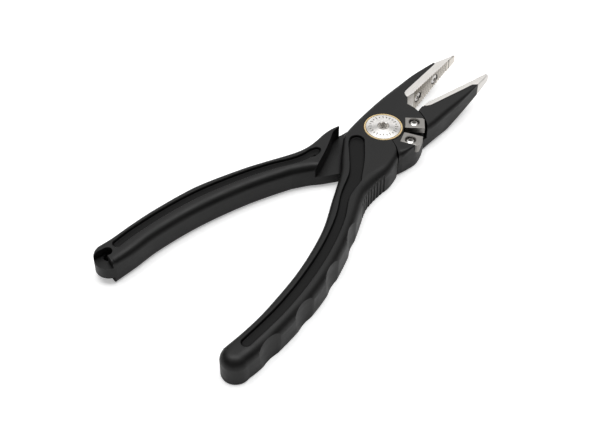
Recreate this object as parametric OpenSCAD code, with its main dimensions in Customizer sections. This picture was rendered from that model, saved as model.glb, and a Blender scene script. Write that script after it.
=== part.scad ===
/* [Overall] */
// Thickness of one half of the pliers, from the parting plane to an outer face
half_t = 6; // [5:0.5:8]
// Angle between the two halves when the spring holds them open
open_angle = 17.4; // [17.2:0.1:17.5]
// Gap between the two laps at the parting plane
lap_gap = 0.1; // [0.06:0.02:0.2]

/* [Pivot] */
// Radius of the polished bolt head and of the nut
head_r = 7.05; // [6.6:0.05:7.1]
// Radius of the bronze bearing flange around the head
flange_r = 7.85; // [7.6:0.05:7.95]
// Height of the bolt head's shallow crown above the outer face
crown_h = 0.8; // [0.2:0.1:1]
// Radius of the pivot shank
shank_r = 4; // [3.5:0.1:4.4]
// Across-flats size of the hexagon socket in the bolt head
socket_af = 4.2; // [3.8:0.1:5]
// Radial running clearance between shank and bushes
run_gap = 0.03; // [0.02:0.01:0.06]

/* [Return spring] */
// Wire diameter of the torsion spring
wire_d = 0.9; // [0.6:0.1:1]
// Mean radius of the coil
coil_r = 6.2; // [6.1:0.1:6.4]
// Turns of the coil
coil_turns = 3; // [2:1:3]

/* [Jaws] */
// Side position of the line where the two grip faces meet
grip_x = -1.85; // [-2:0.05:-1.7]
// Forward position of the jaw tips
jaw_tip_y = 56.6; // [55:0.2:58]
// Rise of the tapered underside for each millimetre towards the tips
jaw_taper = 0.25; // [0.1:0.05:0.3]
// Width of the left insert's top face
left_insert_w = 3.65; // [3:0.05:4]
// Width of the right insert's top face
right_insert_w = 2.4; // [2.2:0.05:3]
// Shank radius of the insert screws
insert_screw_r = 1; // [0.8:0.1:1.2]

/* [Cutters] */
// Direction of the cutting edges when the pliers are closed
cut_angle = 34.8; // [33:0.2:36]
// Distance from the pivot to the inner end of the cutting edges
cut_start = 8.85; // [8.8:0.05:9.5]
// Length of the cutting edges
cut_len = 7.85; // [7:0.05:8]
// Depth of the upper cutter behind its edge
upper_cut_d = 6.1; // [5:0.1:6.2]
// Depth of the lower cutter behind its edge
lower_cut_d = 5.8; // [5:0.1:6]
// Thickness of the upper cutter
upper_cut_t = 3.1; // [2.5:0.1:3.2]
// Thickness of the lower cutter
lower_cut_t = 3.9; // [3:0.1:5]

/* [Handles] */
// Number of finger scallops on the right handle
scallops = 4; // [3:1:4]
// Depth of a finger scallop
scallop_depth = 0.9; // [0.6:0.1:1.2]
// Length of a finger scallop
scallop_len = 10.5; // [8:0.5:14]
// Number of thumb grooves on the outer side of the right handle
thumb_grooves = 9; // [5:1:9]
// Depth of the long channels in the handles
channel_depth = 1.2; // [0.6:0.1:2]
// Radius of the lanyard hole in the left handle
lanyard_r = 1.8; // [1.5:0.1:2.2]
// Thickness of the lanyard tongue
tongue_t = 5; // [4:0.5:6]

/* [Hidden] */

top_z = 2 * half_t;
lap_z = half_t;
lap_top = lap_z + lap_gap / 2;
lap_low = lap_z - lap_gap / 2;
past = 1;
tiny = 0.02;
round_fn = 64;
black = "#343434";
steel = "#dcd8d0";
carbide = "#8a8680";
bronze = "#d9b26a";
bright = "#e8e8ea";
spring_grey = "#c0c0c0";
nylon = "#e9e4d2";

// Pivot stack, measured up from the underside
collar_r = 8.35;
lobe_clear_r = 8.6;
boss_r = 17.6;
jaw_seam_r = 17.9;
head_t = 2.1;
head_gap = 0.07;
socket_depth = 2.6;
web_t = 0.6;
sleeve_r = 5.2;
spring_pocket_r = 7.3;
flange_h = head_t + web_t;
flange_z = top_z - flange_h;
pocket_top = flange_z - web_t;
pocket_low = top_z - pocket_top;
nut_t = 1.45;
tail_r = 3;
spanner_hole_r = 0.8;
spanner_hole_at = 5;
spanner_hole_depth = 1;
washer_r = 6;
washer_gap = 0.1;
thrust_t = 0.54;
stop_gap = 0.25;
fit_gap = 0.02;
lanyard_at = [-4.2, -123.6];
recess_step = 0.2;
lower_screw_low = 3;
upper_screw_low = lap_top + 0.5;
leg_reach = 9.6;
leg_angle = 180;
leg_slot_w = 1.3;
coil_end_gap = 0.3;

// Screws of the jaw inserts: distance forward, depth below the top face, and length
front_screw = [41.1, 3.7, 4.6];
rear_screw = [28.7, 5.2, 6.8];
insert_head_r = 1.9;
insert_head_t = 1.4;
insert_sink = 1.7;
insert_tip_gap = 0.4;
insert_bore_gap = 0.3;
taper_len = 33.8;
cut_screw_at = 3.65;
cut_screw_back = 3.5;
cut_head_r = 1.65;
cut_hole_r = 2.1;
cut_sink = 1.7;
cut_head_drop = 0.2;
hex_d = 1.8;
hex_depth = 0.8;

// Thumb grooves and finger scallops, placed by their distance behind the pivot
groove_r = 0.6;
groove_depth = 0.45;
groove_first_y = -21;
groove_pitch = 2.05;
scallop_first_y = -52.6;
scallop_pitch = 19.7;

// Points of a smooth curve that passes through every point of p, with n steps a span
function span_point(a, b, c, d, t) =
    0.5 * (2 * b + (c - a) * t + (2 * a - 5 * b + 4 * c - d) * t * t
           + (3 * b - a - 3 * c + d) * t * t * t);
function through(p, n = 5) = [
    for (i = [0 : len(p) - 2], k = [0 : n - 1])
        span_point(p[max(i - 1, 0)], p[i], p[i + 1], p[min(i + 2, len(p) - 1)], k / n),
    p[len(p) - 1]];
function arc(c, r, a0, a1, n = 12) = [
    for (k = [0 : n]) c + r * [cos(a0 + (a1 - a0) * k / n), sin(a0 + (a1 - a0) * k / n)]];
function turn(p, a) = [for (q = p) [q.x * cos(a) - q.y * sin(a), q.x * sin(a) + q.y * cos(a)]];
function along_cut(r, s) = [r * cos(cut_angle) - s * sin(cut_angle),
                            r * sin(cut_angle) + s * cos(cut_angle)];

// ---- outlines of the upper half, in its closed position ----
seat_x = grip_x - left_insert_w;
upper_tip = [seat_x - 0.7, 46.5];
upper_back = [upper_tip, [-9.3, 35], [-10.6, 26], [-11.4, 16], [-11.6, 6], [-11.4, -4],
              [-10.4, -12.2]];
upper_inner = [[-9.6, -14], [-3.7, -23.7], [1.5, -31.6], [7.6, -45], [14.1, -60],
               [18.9, -80], [20.9, -100], [21, -112], [19.6, -123.2]];
upper_end = [25.05, -123.2];
upper_end_r = 5.45;
upper_outer = [[30.5, -122.4], [31.2, -116], [31.5, -100], [30.6, -84], [28.6, -72], [24.9, -58],
               [20.4, -45.5], [16.1, -34.5], [15.2, -29], [15.2, -23], [15.6, -17],
               [14.3, -10.1]];
upper_stop = [[14.3, -10.1], [10.7, -6.6], [8.3, -5]];
rear_notch = [-2.7, 21.2];
upper_lap_edge = [[14.3, -10.1], [12.3, -18], [9.9, -26], [7.5, -34], [5.5, -41]];

function upper_lobe_front() = concat(
    arc([0, 0], collar_r, -30, cut_angle - 3),
    [along_cut(cut_start, 0.4), along_cut(cut_start + cut_len - 0.3, 0.4),
     along_cut(cut_start + cut_len - 0.3, upper_cut_d - 0.4)],
    arc([0, 0], boss_r, 55, 90.6));
function upper_outline() = concat(
    through(upper_back), through(upper_inner),
    arc(upper_end, upper_end_r, 180, 360), through(upper_outer),
    upper_stop, upper_lobe_front(),
    [rear_notch, [-4, 21.5], [-5.2, 22.6], [seat_x, 24], [seat_x, 45.5]]);

// ---- outlines of the lower half, in its closed position ----
lower_seat_x = grip_x + right_insert_w;
lower_tip = [lower_seat_x + 1.3, 48.5];
lower_front = [lower_tip, [5.4, 36], [7.4, 28], [9.1, 21.5], [10.2, 16], [10.6, 12.8]];
lower_lobe = [[10.6, 12.8], [12.9, 9.9], [15.4, 5.4], [16.3, 0.6], [16.6, -3]];
lower_lap_edge = [[13.4, -10.6], [11, -17], [8.6, -22.5], [6.6, -27], [4.3, -33], [1.9, -38],
                  [-0.4, -44.5]];
lower_inner = [[-0.4, -44.5], [-2.1, -54.5], [-3.3, -64.5], [-3.9, -77], [-3.6, -90],
               [-1.95, -104.5], [0.35, -114.5], [1.8, -123.6]];
lower_end = [-3.7, -123.6];
lower_end_r = 5.5;
lower_outer = [[-9.2, -123.6], [-9.9, -118.5], [-11.7, -110], [-13.4, -100], [-14.8, -86],
               [-14.9, -76], [-13.2, -60], [-11.4, -50], [-9.3, -40], [-8.6, -34], [-9.2, -28.5],
               [-10.9, -22], [-11.2, -17.5], [-10.8, -13]];
lower_back = [[-10.8, -13], [-11.4, -5], [-11.6, 4], [-11.4, 13.8]];
lower_shoulder = [[-10.2, -14.5], [-9.4, -18], [-6.5, -21.6], [-2.5, -26.7], [0.4, -30.9],
                  [1.7, -32.9], [2.7, -35], [3.2, -37]];

function lower_outline() = concat(
    through(lower_front), through(lower_lobe),
    turn([upper_stop[0]], open_angle + stop_gap), arc([0, 0], 17.15, -20, -36, 4),
    through(lower_lap_edge), through(lower_inner), arc(lower_end, lower_end_r, 0, -180),
    through(lower_outer), through(lower_back),
    arc([0, 0], boss_r, 127, 88.4),
    [[-0.8, 20.6], [0, 22.6], [lower_seat_x, 24.6], [lower_seat_x, 46.5]]);

module slab(points, z0, z1) {
    translate([0, 0, z0]) linear_extrude(z1 - z0) polygon(points);
}
module upright(r, z0, z1, at = [0, 0]) {
    translate([at.x, at.y, z0]) cylinder(r = r, h = z1 - z0, $fn = round_fn);
}
module upper_pose() {
    rotate(open_angle / 2) children();
}
module lower_pose() {
    rotate(-open_angle / 2) children();
}

// Everything below the tapered underside of the jaws
module under_jaw() {
    translate([0, jaw_tip_y - taper_len, 0]) rotate([atan(jaw_taper), 0, 0])
        translate([-40, 0, -30]) cube([80, 60, 30]);
}

// ---- jaw inserts and their screws ----
left_insert_pts = [[grip_x, 25], [grip_x, jaw_tip_y - 1.1], [-2.05, jaw_tip_y - 0.4],
                   [-2.4, jaw_tip_y - 0.7], [-2.6, jaw_tip_y - 2.2], upper_tip,
                   [seat_x, 45.5], [seat_x, 24], [-5.2, 22.6], [-4, 21.5], rear_notch];
right_insert_pts = [[grip_x, 25], [grip_x, jaw_tip_y - 0.4], [-1.4, jaw_tip_y + 0.2],
                    [-0.9, jaw_tip_y], [-0.4, jaw_tip_y - 0.8], [0.85, 51.9], lower_tip,
                    [lower_seat_x, 46.5], [lower_seat_x, 24.6], [0, 22.6], [-0.8, 21.6]];

module jaw_screw(at, side) {
    head_x = grip_x - side * (insert_sink - insert_head_t);
    translate([head_x, at.x, top_z - at.y]) rotate([0, -90 * side, 0]) difference() {
        union() {
            cylinder(r = insert_head_r, h = insert_head_t, $fn = round_fn);
            cylinder(r = insert_screw_r, h = at.z - insert_tip_gap, $fn = round_fn);
        }
        translate([0, 0, -past]) cylinder(d = hex_d, h = past + hex_depth, $fn = 6);
    }
}
module jaw_screw_hole(at, side) {
    translate([grip_x, at.x, top_z - at.y]) rotate([0, -90 * side, 0]) {
        cylinder(r = insert_screw_r + fit_gap, h = at.z, $fn = round_fn);
        translate([0, 0, -past])
            cylinder(r = insert_head_r + insert_bore_gap, h = past + insert_sink, $fn = round_fn);
    }
}
module insert_block(points, side) {
    difference() {
        slab(points, 0, top_z);
        under_jaw();
        jaw_screw_hole(front_screw, side);
        jaw_screw_hole(rear_screw, side);
    }
}
module left_jaw_insert() {
    color(steel) upper_pose() insert_block(left_insert_pts, 1);
}
module right_jaw_insert() {
    color(steel) lower_pose() insert_block(right_insert_pts, -1);
}
module left_jaw_front_screw() {
    color(bright) upper_pose() jaw_screw(front_screw, 1);
}
module left_jaw_rear_screw() {
    color(bright) upper_pose() jaw_screw(rear_screw, 1);
}
module right_jaw_front_screw() {
    color(bright) lower_pose() jaw_screw(front_screw, -1);
}
module right_jaw_rear_screw() {
    color(bright) lower_pose() jaw_screw(rear_screw, -1);
}

// ---- cutters and their screws ----
module cutter_plate(depth, thick, side) {
    chamfer = 0.8;
    rotate(cut_angle) difference() {
        translate([0, 0, top_z - thick]) linear_extrude(thick) polygon([
            [cut_start, 0], [cut_start + cut_len, 0],
            [cut_start + cut_len, side * (depth - chamfer)],
            [cut_start + cut_len - chamfer, side * depth], [cut_start, side * depth]]);
        upright(cut_hole_r, top_z - cut_sink, top_z + past,
                [cut_start + cut_screw_at, side * cut_screw_back]);
        upright(insert_screw_r + fit_gap, top_z - thick - past, top_z,
                [cut_start + cut_screw_at, side * cut_screw_back]);
    }
}
module cutter_screw(side, low_z) {
    rotate(cut_angle) translate([cut_start + cut_screw_at, side * cut_screw_back, 0]) difference() {
        union() {
            upright(cut_head_r, top_z - cut_sink, top_z - cut_head_drop);
            upright(insert_screw_r, low_z, top_z - cut_sink + tiny);
        }
        translate([0, 0, top_z - cut_head_drop - hex_depth]) cylinder(d = hex_d, h = past, $fn = 6);
    }
}
module cutter_screw_hole(side, low_z) {
    rotate(cut_angle) upright(insert_screw_r + fit_gap, low_z, top_z,
                              [cut_start + cut_screw_at, side * cut_screw_back]);
}
module cutter_seat(depth, thick, side) {
    rotate(cut_angle) translate([cut_start - tiny, side > 0 ? -past : -depth, top_z - thick])
        cube([cut_len + 3, depth + past, thick + past]);
}
module upper_cutter() {
    color(carbide) upper_pose() cutter_plate(upper_cut_d, upper_cut_t, 1);
}
module lower_cutter() {
    color(carbide) lower_pose() cutter_plate(lower_cut_d, lower_cut_t, -1);
}
module upper_cutter_screw() {
    color(bright) upper_pose() cutter_screw(1, upper_screw_low + 0.2);
}
module lower_cutter_screw() {
    color(bright) lower_pose() cutter_screw(-1, lower_screw_low + 0.2);
}

// ---- pivot ----
// Flanged bush with its flange at the outer face, standing on the parting plane
module bush(z_flip) {
    translate([0, 0, z_flip ? top_z : 0]) mirror([0, 0, z_flip ? 1 : 0]) difference() {
        union() {
            upright(flange_r, flange_z, top_z);
            upright(sleeve_r, lap_z + thrust_t / 2 + tiny, flange_z + past);
        }
        upright(shank_r + run_gap, 0, top_z + past);
        upright(head_r + head_gap, top_z - head_t, top_z + past);
    }
}
module upper_bush() {
    color(bronze) bush(false);
}
module lower_bush() {
    color(bronze) bush(true);
}
module pivot_bolt() {
    crown_steps = 8;
    color(bright) difference() {
        union() {
            rotate_extrude($fn = round_fn) polygon(concat(
                [[0, top_z - head_t + tiny], [head_r, top_z - head_t + tiny]],
                [for (k = [0 : crown_steps]) let (r = head_r * (1 - k / crown_steps))
                    [r, top_z + crown_h * (1 - pow(r / head_r, 1.5))]]));
            upright(shank_r, head_t - tiny, top_z - head_t + past);
            upright(tail_r, tiny, head_t);
        }
        translate([0, 0, top_z - socket_depth])
            cylinder(d = socket_af / cos(30), h = socket_depth + crown_h + past, $fn = 6);
    }
}
module pivot_nut() {
    color(bright) difference() {
        upright(head_r, 0, nut_t);
        upright(tail_r, tiny, nut_t + past);
        for (side = [-1, 1]) 
            upright(spanner_hole_r, -past, spanner_hole_depth, [side * spanner_hole_at, 0]);
    }
}
module tension_washer() {
    color(spring_grey) difference() {
        upright(washer_r, nut_t + tiny, head_t - 2 * tiny);
        upright(tail_r + washer_gap, 0, head_t);
    }
}
module thrust_washer() {
    color(nylon) difference() {
        upright(sleeve_r, lap_z - thrust_t / 2, lap_z + thrust_t / 2);
        upright(shank_r + washer_gap / 2, 0, top_z);
    }
}

// ---- torsion spring: a round wire swept along a helix with a radial leg at each end ----
wire_sides = 8;
coil_steps = 24;
coil_low = pocket_low + wire_d / 2 + coil_end_gap;
coil_high = pocket_top - wire_d / 2 - coil_end_gap;
half_open = open_angle / 2;
coil_a0 = leg_angle - half_open;
coil_a1 = coil_a0 + 360 * coil_turns + open_angle;
coil_n = ceil((coil_a1 - coil_a0) / 360 * coil_steps);
function polar(r, a, z) = [r * cos(a), r * sin(a), z];
function coil_path() = concat(
    [polar(leg_reach, coil_a0, coil_low)],
    [for (k = [0 : coil_n]) let (t = k / coil_n)
        polar(coil_r, coil_a0 + (coil_a1 - coil_a0) * t, coil_low + (coil_high - coil_low) * t)],
    [polar(leg_reach, coil_a1, coil_high)]);
function unit(v) = v / norm(v);
function heading(p, i) = i == 0 ? unit(p[1] - p[0])
    : i == len(p) - 1 ? unit(p[i] - p[i - 1])
    : unit(unit(p[i + 1] - p[i]) + unit(p[i] - p[i - 1]));
module opening_spring() {
    path = coil_path();
    last = len(path) - 1;
    points = [for (i = [0 : last]) let (
        t = heading(path, i), side = unit(cross(t, [0, 0, 1])), up = cross(side, t))
        for (k = [0 : wire_sides - 1]) path[i]
            + wire_d / 2 * (cos(360 * k / wire_sides) * side + sin(360 * k / wire_sides) * up)];
    sides = [for (i = [0 : last - 1], k = [0 : wire_sides - 1]) let (m = (k + 1) % wire_sides)
        [i * wire_sides + k, i * wire_sides + m, (i + 1) * wire_sides + m, (i + 1) * wire_sides + k]];
    color(spring_grey) polyhedron(points, concat(
        sides, [[for (k = [wire_sides - 1 : -1 : 0]) k]],
        [[for (k = [0 : wire_sides - 1]) last * wire_sides + k]]), convexity = 6);
}

// ---- bodies ----
module pivot_cuts(z_flip) {
    translate([0, 0, z_flip ? top_z : 0]) mirror([0, 0, z_flip ? 1 : 0]) {
        upright(sleeve_r + fit_gap, -past, top_z + past);
        upright(flange_r + fit_gap, flange_z, top_z + past);
        upright(spring_pocket_r, -past, pocket_top);
    }
}
module leg_slot(z0, z1) {
    rotate(leg_angle) translate([0, -leg_slot_w / 2, z0]) cube([leg_reach + 0.5, leg_slot_w, z1 - z0]);
}

name_pocket = [[-3.5, -10.2], [-1.6, -10.9], [4.6, -19.5], [9.5, -28], [11, -31], [12.5, -40],
               [8.7, -40], [5, -30.1], [0.7, -23.7], [-5, -16.6], [-6.8, -13], [-5.4, -10.8]];
upper_channel_left = [[8.7, -40], [13.8, -50], [17.5, -60], [20.2, -70], [22.1, -80], [23.4, -90],
                      [24.1, -102], [23.7, -117.6]];
channel_w = 3.8;
lower_channel_left = [[-6.2, -31.5], [-5.8, -36], [-6.5, -41], [-8.9, -50], [-11, -63], [-12.2, -80],
                      [-11.4, -96], [-9.2, -111], [-7.3, -118.6]];
lower_channel_w = 3.5;
lower_channel_flare = [[-2.3, -33.6], [-1.9, -31.4], [-2.7, -29.4], [-4.2, -28.2], [-5.7, -29]];
// A long groove with a round lower end, closed at its upper end by the points in head
module channel(left, w, head) {
    edge = through(left, 3);
    last = len(edge) - 1;
    slab(concat(edge, arc(edge[last] + [w / 2, 0], w / 2, 180, 360, 10),
                [for (i = [last - 1 : -1 : 0]) edge[i] + [w, 0]], head),
         top_z - channel_depth, top_z + past);
}

// The scallops and grooves follow the outer wall of the right handle
outer_wall = [for (p = through(upper_outer)) [p.y, p.x]];
function outer_x(y) = lookup(y, outer_wall);
scallop_r = (pow(scallop_len / 2, 2) + pow(scallop_depth, 2)) / (2 * scallop_depth);
module finger_scallop(i) {
    y = scallop_first_y - scallop_pitch * i;
    a = atan((outer_x(y - 3) - outer_x(y + 3)) / 6);
    upright(scallop_r, -past, top_z + past,
            [outer_x(y), y] + (scallop_r - scallop_depth) * [cos(a), sin(a)]);
}
module thumb_groove(i) {
    y = groove_first_y - groove_pitch * i;
    upright(groove_r, -past, top_z + past, [outer_x(y) + groove_r - groove_depth, y]);
}

// Space below the parting plane that the lower half's lap turns in
function upper_lap_space() = concat(
    through(upper_lap_edge), [[-40, -60], [-40, 13.9], [0, 13.9], [17.3, 0], [16.9, -4.5]]);
module upper_body() {
    color(black) upper_pose() difference() {
        slab(upper_outline(), 0, top_z);
        upright(jaw_seam_r, -past, lap_top);
        slab(upper_lap_space(), -past, lap_top);
        under_jaw();
        pivot_cuts(false);
        leg_slot(lap_z - past, pocket_top);
        cutter_seat(upper_cut_d, upper_cut_t, 1);
        cutter_screw_hole(1, upper_screw_low);
        jaw_screw_hole(front_screw, 1);
        jaw_screw_hole(rear_screw, 1);
        slab(name_pocket, top_z - channel_depth, top_z + past);
        channel(upper_channel_left, channel_w, []);
        for (i = [0 : scallops - 1]) finger_scallop(i);
        for (i = [0 : thumb_grooves - 1]) thumb_groove(i);
    }
}

// Space above the parting plane that the upper half's lap turns in
function lower_lap_space() = concat(
    arc([0, 0], jaw_seam_r, 98, 40),
    [along_cut(30, -0.4), along_cut(lobe_clear_r, -0.4)],
    arc([0, 0], lobe_clear_r, cut_angle - 4, -12, 8),
    turn([upper_stop[2], upper_stop[1], upper_stop[0], [18, -12.5]], open_angle + stop_gap),
    [[30, -10], [30, -42], [3.4, -42]],
    through([for (i = [len(lower_shoulder) - 1 : -1 : 0]) lower_shoulder[i]]),
    [[-30, -14.5], [-30, 18]]);
module lanyard_relief(z0, z1) {
    side = lanyard_r + recess_step;
    slab(concat(arc(lanyard_at, side, 180, -25), [[12, lanyard_at.y - 1], [12, -135],
                [lanyard_at.x - side, -135]]), z0, z1);
}
module lower_body() {
    color(black) lower_pose() difference() {
        slab(lower_outline(), 0, top_z);
        slab(lower_lap_space(), lap_low, top_z + past);
        under_jaw();
        pivot_cuts(true);
        leg_slot(pocket_low, lap_z + past);
        cutter_seat(lower_cut_d, lower_cut_t, -1);
        cutter_screw_hole(-1, lower_screw_low);
        jaw_screw_hole(front_screw, -1);
        jaw_screw_hole(rear_screw, -1);
        channel(lower_channel_left, lower_channel_w, through(lower_channel_flare, 3));
        upright(lanyard_r, -past, top_z + past, lanyard_at);
        lanyard_relief(-past, lap_z - tongue_t / 2);
        lanyard_relief(lap_z + tongue_t / 2, top_z + past);
    }
}

upper_body();
left_jaw_insert();
left_jaw_front_screw();
left_jaw_rear_screw();
upper_cutter();
upper_cutter_screw();
upper_bush();
pivot_bolt();
pivot_nut();
tension_washer();
thrust_washer();
opening_spring();
lower_body();
right_jaw_insert();
right_jaw_front_screw();
right_jaw_rear_screw();
lower_cutter();
lower_cutter_screw();
lower_bush();
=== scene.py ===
import math

import bmesh
import bpy
from mathutils import Matrix, Vector


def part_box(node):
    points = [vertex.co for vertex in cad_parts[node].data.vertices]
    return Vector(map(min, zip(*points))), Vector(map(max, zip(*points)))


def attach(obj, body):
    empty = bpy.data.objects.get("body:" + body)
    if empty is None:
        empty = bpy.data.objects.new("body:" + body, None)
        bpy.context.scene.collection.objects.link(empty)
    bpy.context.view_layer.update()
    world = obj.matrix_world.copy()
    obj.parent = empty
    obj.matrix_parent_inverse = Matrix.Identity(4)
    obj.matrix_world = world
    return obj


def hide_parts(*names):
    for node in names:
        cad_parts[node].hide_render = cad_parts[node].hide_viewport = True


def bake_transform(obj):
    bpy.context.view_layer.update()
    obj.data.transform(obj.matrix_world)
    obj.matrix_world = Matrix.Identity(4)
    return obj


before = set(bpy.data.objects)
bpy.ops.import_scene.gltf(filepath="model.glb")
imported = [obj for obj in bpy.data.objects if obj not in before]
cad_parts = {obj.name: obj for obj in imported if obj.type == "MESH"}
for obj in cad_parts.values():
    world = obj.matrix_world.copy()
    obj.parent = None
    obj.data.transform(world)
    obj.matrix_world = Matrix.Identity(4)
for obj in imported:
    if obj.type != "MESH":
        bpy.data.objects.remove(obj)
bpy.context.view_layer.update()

# ------------------------------------------------------------------ driving dimensions, in millimetres
MM = 0.001
OPEN_HALF = 8.7                                   # each half is turned this many degrees from closed
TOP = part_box("upper_body")[1].z / MM              # outer face of the upper half
LAP = TOP / 2                                     # parting plane between the two laps
LAP_GAP = 0.05
HEAD_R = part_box("pivot_nut")[1].x / MM            # polished bolt head and nut
FLANGE_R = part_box("upper_bush")[1].x / MM         # bronze ring around them
SHANK_R = 4.0
SLEEVE_R = 5.2
SOCKET_AF = 4.2
SCREW_AF = 1.8
HEAD_T = 2.1
FLANGE_T = 2.7
POCKET_R = 7.3                                    # room for the return spring
POCKET_TOP = TOP - FLANGE_T - 0.6
GRIP_X = -1.85                                    # line where the two grip faces meet
TIP_Y = 56.6
TAPER_START = 22.8                                # the jaws thin from below beyond this distance
TAPER = 0.25
BOSS_R = 17.6                                     # round end of the upper half between the jaws
SEAM_R = 17.9
LEFT_SEAT = GRIP_X - 3.65
RIGHT_SEAT = GRIP_X + 2.4
FRONT_SCREW = (41.1, 3.7, 4.6)                    # distance forward, depth below the top face, length
REAR_SCREW = (28.7, 5.2, 6.8)
CUT_ANGLE = 34.8
CUT_START = 8.85
CUT_LEN = 7.85
CUT_SCREW_AT = 12.5
CUT_SCREW_BACK = 3.5
UPPER_CUT = (6.1, 3.1)                            # depth behind the edge, thickness
LOWER_CUT = (5.8, 3.9)
JAW_HEAD_R = 1.9
CUT_HEAD_R = 1.65
CUT_HOLE_R = 2.1
JAW_HOLE_R = JAW_HEAD_R + 0.45
SINK = 1.7                                        # depth of every screw recess
BORE_R = 1.02                                     # below it, the bore for an M2 shank
UPPER_BORE_LOW = LAP + 0.6                        # where the bores under the cutters end
LOWER_BORE_LOW = 3
CROWN = 0.8                                       # rise of the bolt head's shallow crown
MARKS = 24                                        # plain index marks on the bolt head
MARK_R = 5.35
MARK_HALF = 0.2
MARK_LEN = (0.8, 1.4)                             # short and long marks by turns
STOP_GAP = 1.6                                    # degrees left between the two stops when fully open
NUT_T = 1.45
TAIL_R = 3.0
THRUST_T = 0.54
WIRE_R = 0.45
COIL_R = 6.2
COIL_TURNS = 3
LEG_REACH = 9.6
LEG_ANGLE = 180
GROOVE_DEPTH = 1.2
LANYARD = (-4.2, -123.6)
LANYARD_R = 1.8
TONGUE_T = 5.0
SCALLOPS = 4                                      # one for each finger
SCALLOP_FIRST_Y = -52.6
SCALLOP_PITCH = 19.7
SCALLOP_DEPTH = 0.6
SCALLOP_LEN = 8.5
SCALLOP_LEAN = 4                                  # degrees, deeper towards the top
SCALLOP_SPAN = 3                                  # the wall's slope is taken over this much to either side
THUMB_GROOVES = 9
THUMB_FIRST_Y = -21
THUMB_PITCH = 2.05
THUMB_R = 0.6
THUMB_BACK = 0.15                                 # their centres stand outside the wall
TOOTH_PITCH = 0.7                                 # half the distance between two teeth of a grip face
TOOTH_ROWS = 19
TOOTH_DEPTH = 0.52
TOOTH_CROSS = 0.16                                # depth of the lines that cross the teeth
TOOTH_SPAN = (25.2, 50.7)                         # first and last tooth
NOTCH_SPAN = (51.2, 51.7)                         # a line across both grip faces ahead of the teeth
NOTCH_DEPTH = 0.35
FIT = 0.02                                        # gap between turned parts
EDGE = 0.18                                       # smallest broken edge
PAST = 2.0                                        # how far a cutting tool reaches past a face


# ------------------------------------------------------------------ curves in the plane
def through(points, n=14):
    """A smooth curve through every point, with n steps a span."""
    out = []
    last = len(points) - 1
    for i in range(last):
        a, b = points[max(i - 1, 0)], points[i]
        c, d = points[i + 1], points[min(i + 2, last)]
        for k in range(n):
            t = k / n
            out.append(tuple(
                0.5 * (2 * b[j] + (c[j] - a[j]) * t
                       + (2 * a[j] - 5 * b[j] + 4 * c[j] - d[j]) * t * t
                       + (3 * b[j] - a[j] - 3 * c[j] + d[j]) * t ** 3)
                for j in range(len(b))))
    return out + [tuple(points[-1])]


def arc(center, radius, start, end, n=24):
    out = []
    for k in range(n + 1):
        a = math.radians(start + (end - start) * k / n)
        out.append((center[0] + radius * math.cos(a), center[1] + radius * math.sin(a)))
    return out


def turned(points, degrees):
    c, s = math.cos(math.radians(degrees)), math.sin(math.radians(degrees))
    return [(p[0] * c - p[1] * s, p[0] * s + p[1] * c) + tuple(p[2:]) for p in points]


def along_cut(r, s):
    """A point r along the cutting edges and s to their left."""
    return turned([(r, s)], CUT_ANGLE)[0]


def with_radii(points, top, bottom):
    """Gives every point of a plain run its top and bottom edge radius."""
    return [(p[0], p[1], top, bottom) for p in points]


def thinned(points, least=0.02):
    """The same closed outline without repeated points."""
    out = []
    for p in points:
        if not out or math.dist(p[:2], out[-1][:2]) > least:
            out.append(p)
    if math.dist(out[0][:2], out[-1][:2]) <= least:
        out.pop()
    return out


def loop(points):
    """The same closed outline without repeated points, counter-clockwise."""
    points = thinned(points)
    area = sum(a[0] * b[1] - b[0] * a[1] for a, b in zip(points, points[1:] + points[:1]))
    return points[::-1] if area < 0 else points


# ------------------------------------------------------------------ mesh building
def new_object(name, bm):
    """A linked object from a bmesh; pieces are built in millimetres and scaled once, in settle()."""
    bmesh.ops.recalc_face_normals(bm, faces=bm.faces)
    mesh = bpy.data.meshes.new(name)
    bm.to_mesh(mesh)
    bm.free()
    obj = bpy.data.objects.new(name, mesh)
    bpy.context.scene.collection.objects.link(obj)
    return obj


def stack_rings(bm, rings):
    """Skins closed rings of points from the first to the last, and caps both ends."""
    rows = [[bm.verts.new(p) for p in ring] for ring in rings]
    n = len(rows[0])
    for low, high in zip(rows, rows[1:]):
        for i in range(n):
            j = (i + 1) % n
            bm.faces.new((low[i], low[j], high[j], high[i]))
    bm.faces.new(list(reversed(rows[0])))
    bm.faces.new(rows[-1])


def inward(points):
    """For a counter-clockwise outline, each point's step inward for an inset of one millimetre."""
    n = len(points)
    out = []
    for i in range(n):
        a, b, c = points[i - 1], points[i], points[(i + 1) % n]
        u = Vector((b[0] - a[0], b[1] - a[1])).normalized()
        v = Vector((c[0] - b[0], c[1] - b[1])).normalized()
        m = Vector((-u.y - v.y, u.x + v.x))
        out.append(m / max(1 + u.dot(v), 0.35))
    return out


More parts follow.
